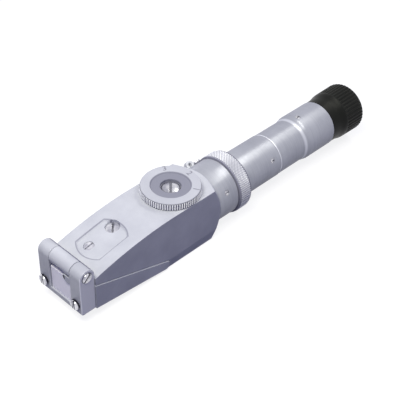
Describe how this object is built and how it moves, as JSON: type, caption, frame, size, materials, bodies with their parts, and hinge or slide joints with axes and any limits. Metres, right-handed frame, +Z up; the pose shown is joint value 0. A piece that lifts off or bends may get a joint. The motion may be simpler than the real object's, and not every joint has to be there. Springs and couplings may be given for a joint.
{
  "type": "handheld refractometer",
  "caption": "Satin metal handheld refractometer with a numbered range dial on top, a hinged prism lid underneath and a black ribbed eyecup that turns to focus.",
  "frame": {"origin": "On the table the part lies on, straight below the axis of the range dial.", "axes": "+X from the prism window to the eyepiece along the optical axis, +Y to the far side where the strap lug is, +Z up along the dial axis."},
  "size_m": [0.2084, 0.0322, 0.0354],
  "materials": {
    "satin_body": "satin bead-blasted",
    "satin_tube": "satin turned",
    "bright_steel": "bright polished",
    "brass_bush": "turned",
    "black_anodised": "black anodised",
    "black_plastic": "moulded",
    "black_rubber": "matt",
    "optical_glass": "polished",
    "frosted_glass": "ground"
  },
  "bodies": {
    "body": {"housing": "satin_body", "bottom_cover": "satin_body", "measuring_prism": "optical_glass", "prism_gasket": "black_rubber", "prism_mount": "black_anodised", "clamp_screw": "bright_steel", "spindle_bush": "brass_bush", "detent_ball": "bright_steel", "detent_spring": "bright_steel", "rear_collar": "satin_tube", "collar_grub_screws": "bright_steel", "strap_lug": "bright_steel", "strap_lug_screw": "bright_steel", "telescope_tube": "satin_tube", "tube_grub_screws": "bright_steel", "objective_cell": "black_anodised", "objective_lens": "optical_glass", "objective_ring": "black_anodised", "eyepiece_tube": "satin_tube", "guide_screw": "bright_steel", "reticle_cell": "black_anodised", "reticle_plate": "optical_glass"},
    "prism_lid": {"front_bracket": "satin_body", "bracket_screws": "bright_steel", "hinge_pin": "bright_steel", "lid_casting": "satin_body", "illuminating_prism": "optical_glass", "window_plate": "frosted_glass", "window_clip": "satin_body"},
    "range_selector": {"dial": "satin_body", "dial_screw": "bright_steel", "dial_spindle": "bright_steel", "turret": "black_anodised", "turret_nut": "bright_steel", "wedge_prisms": "optical_glass"},
    "zero_screw": {"adjusting_screw": "bright_steel"},
    "knurled_ring": {"lock_ring": "satin_tube"},
    "focus_slider": {"focus_sleeve": "satin_tube", "field_lens": "optical_glass", "lens_spacer": "black_anodised", "eye_lens": "optical_glass", "lens_retainer": "black_anodised"},
    "focus_grip": {"eyecup_core": "satin_tube", "eyecup": "black_plastic"}
  },
  "joints": [
    {"name": "lid_hinge", "type": "hinge", "parent": "body", "child": "prism_lid", "pos_m": [-0.0651, 0, 0.0274], "axis": [0, 1, 0], "range_deg": [0, 110]},
    {"name": "range_turn", "type": "hinge", "parent": "body", "child": "range_selector", "pos_m": [0, 0, 0.0312], "axis": [0, 0, 1], "range_deg": [-60, 60]},
    {"name": "zero_turn", "type": "hinge", "parent": "body", "child": "zero_screw", "pos_m": [-0.03535, 0.0025, 0.02961], "axis": [-0.1878, 0, 0.9822], "range_deg": [-180, 180]},
    {"name": "ring_turn", "type": "hinge", "parent": "body", "child": "knurled_ring", "pos_m": [0.0376, 0, 0.0162], "axis": [1, 0, 0], "range_deg": [0, 90]},
    {"name": "focus_slide", "type": "slide", "parent": "body", "child": "focus_slider", "axis": [1, 0, 0], "range_m": [0, 0.004]},
    {"name": "focus_turn", "type": "hinge", "parent": "focus_slider", "child": "focus_grip", "pos_m": [0.12, 0, 0.0162], "axis": [1, 0, 0], "range_deg": [0, 240]}
  ],
  "couplings": [
    {"joint": "focus_slide", "follows": "focus_turn", "m_per_rad": 0.00095493}
  ]
}
